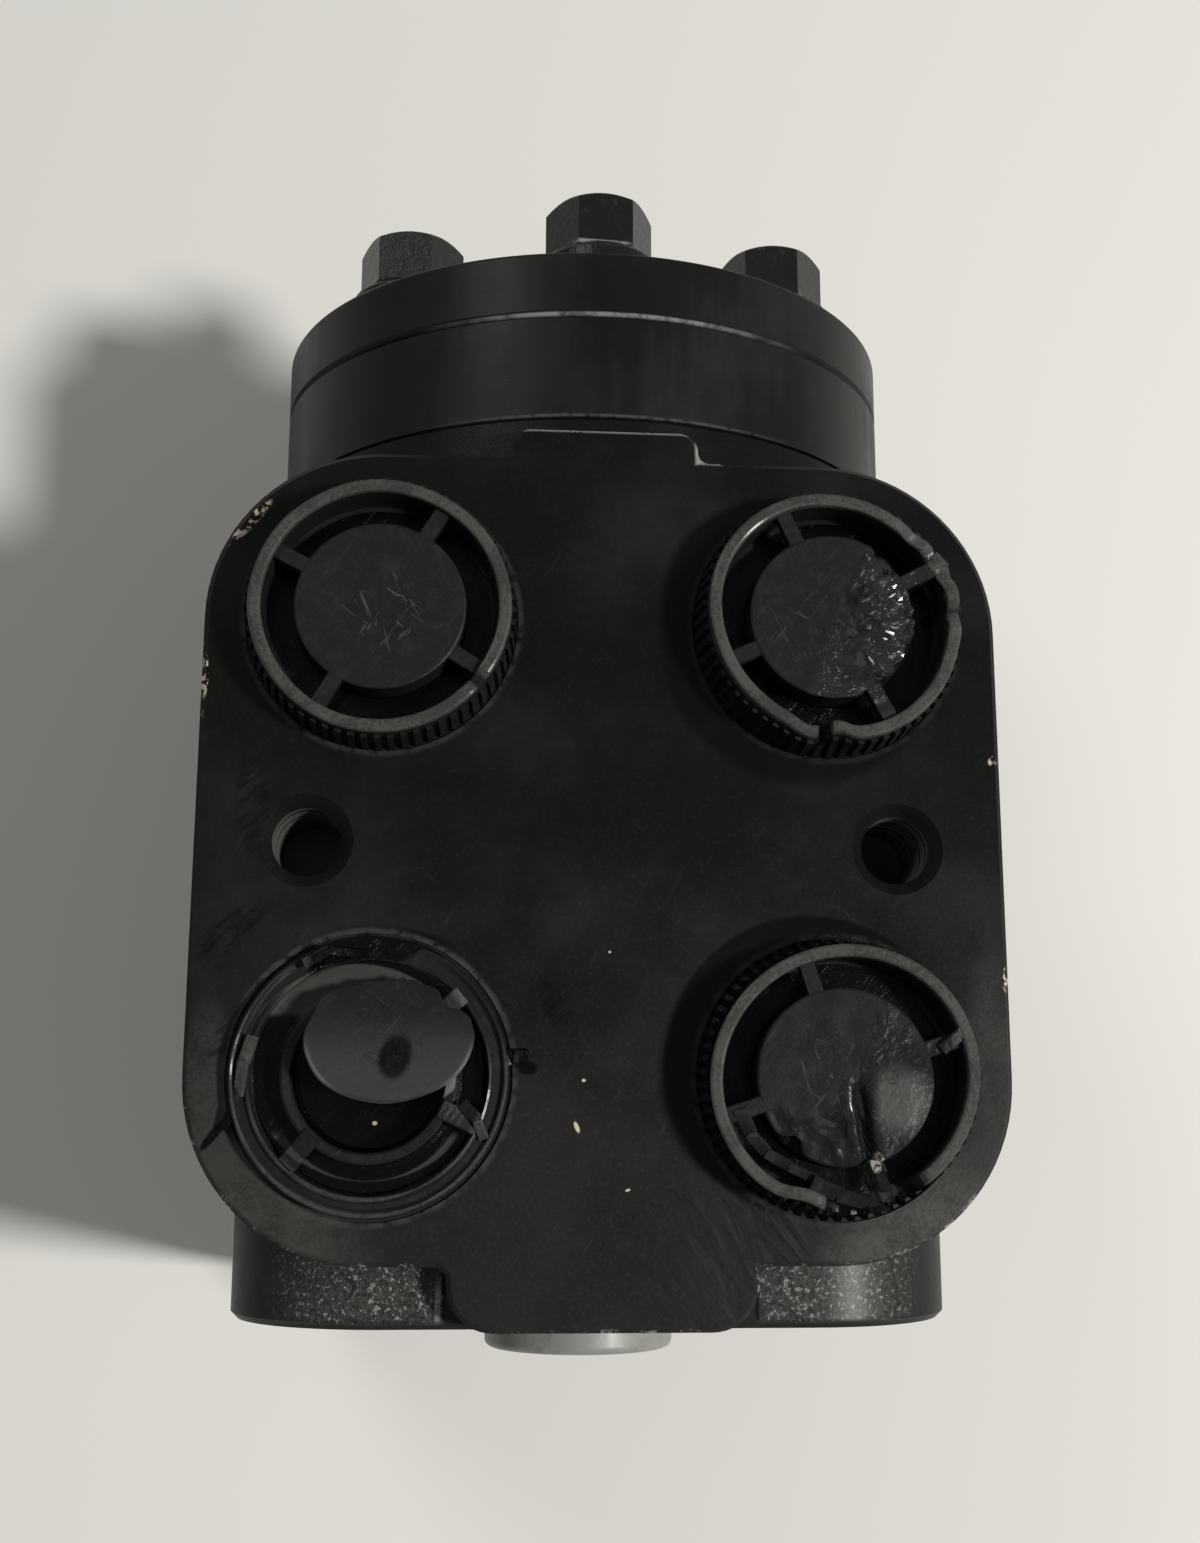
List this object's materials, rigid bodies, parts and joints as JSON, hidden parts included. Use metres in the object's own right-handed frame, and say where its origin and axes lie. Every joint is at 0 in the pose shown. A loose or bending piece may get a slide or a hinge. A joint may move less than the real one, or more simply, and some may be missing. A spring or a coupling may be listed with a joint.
{
  "type": "orbital steering unit",
  "caption": "Hydrostatic orbital steering unit with a cast port block, gerotor gear set under a screwed end cover, plugged ports and a splined steering socket.",
  "frame": {"origin": "centre of the column mounting face, on the steering shaft's axis", "axes": "+Y along the shaft axis from the column flange to the end cover, +Z out of the port face, +X to the right seen from above with the end cover away"},
  "size_m": [0.1, 0.1558, 0.1009],
  "materials": {
    "cast_paint": "satin black paint over cast iron",
    "steel_paint": "satin black paint over turned steel",
    "screw_paint": "satin black paint over steel screws",
    "hardened_steel": "ground hardened steel",
    "spring_steel": "blued spring steel",
    "seal_rubber": "matt black rubber",
    "black_plastic": "moulded black polyethylene",
    "white_plastic": "translucent white polyethylene"
  },
  "bodies": {
    "housing": {"housing": "cast_paint", "distributor_plate": "steel_paint", "gear_ring": "steel_paint", "end_cover": "steel_paint", "cover_screws": "screw_paint", "screw_washers": "screw_paint", "pin_screw": "screw_paint", "rolled_pin": "hardened_steel", "ball_stop": "hardened_steel", "housing_o_ring": "seal_rubber", "plate_o_ring": "seal_rubber", "cover_o_ring": "seal_rubber", "dust_seal": "seal_rubber", "shaft_seal": "seal_rubber", "outer_race": "hardened_steel", "plug_gear_left": "black_plastic", "plug_gear_right": "black_plastic", "plug_column_left": "black_plastic", "plug_column_right": "black_plastic"},
    "sleeve": {"sleeve": "hardened_steel", "cross_pin": "hardened_steel", "spring_ring": "hardened_steel", "flat_springs": "spring_steel", "arched_springs": "spring_steel", "inner_race": "hardened_steel"},
    "spool": {"spool": "hardened_steel"},
    "needle_cage": {"needle_cage": "hardened_steel", "thrust_needles": "hardened_steel"},
    "rotor_orbit": {"rotor_spacer": "hardened_steel"},
    "rotor": {"gear_rotor": "hardened_steel"},
    "cardan": {"cardan_shaft": "hardened_steel"},
    "check_ball": {"check_ball": "hardened_steel"},
    "shaft_plug": {"shaft_plug": "white_plastic"}
  },
  "joints": [
    {"name": "sleeve_turn", "type": "hinge", "parent": "housing", "child": "sleeve", "pos_m": [0, 0.0577, 0], "axis": [0, 1, 0], "continuous": true},
    {"name": "spool_turn", "type": "hinge", "parent": "sleeve", "child": "spool", "pos_m": [0, 0.0577, 0], "axis": [0, 1, 0], "range_deg": [-10, 10], "stiffness_Nm_per_rad": 10, "deforming": ["flat_springs", "arched_springs"]},
    {"name": "cage_turn", "type": "hinge", "parent": "housing", "child": "needle_cage", "pos_m": [0, 0.0194, 0], "axis": [0, 1, 0], "continuous": true},
    {"name": "orbit_turn", "type": "hinge", "parent": "housing", "child": "rotor_orbit", "pos_m": [0, 0.1235, 0], "axis": [0, 1, 0], "continuous": true},
    {"name": "rotor_turn", "type": "hinge", "parent": "rotor_orbit", "child": "rotor", "pos_m": [0, 0.1235, 0.0033], "axis": [0, 1, 0], "continuous": true},
    {"name": "cardan_turn", "type": "hinge", "parent": "rotor_orbit", "child": "cardan", "pos_m": [0, 0.052, 0], "axis": [0, 0.9989, 0.0472], "continuous": true},
    {"name": "ball_lift", "type": "slide", "parent": "housing", "child": "check_ball", "axis": [0, 1, 0], "range_m": [0, 0.0015]},
    {"name": "plug_pull", "type": "slide", "parent": "spool", "child": "shaft_plug", "axis": [0, -1, 0], "range_m": [0, 0.025]}
  ],
  "couplings": [
    {"joint": "cage_turn", "follows": "sleeve_turn", "ratio": 0.5},
    {"joint": "orbit_turn", "follows": "sleeve_turn", "ratio": -6},
    {"joint": "rotor_turn", "follows": "sleeve_turn", "ratio": 7},
    {"joint": "cardan_turn", "follows": "sleeve_turn", "ratio": 7}
  ]
}
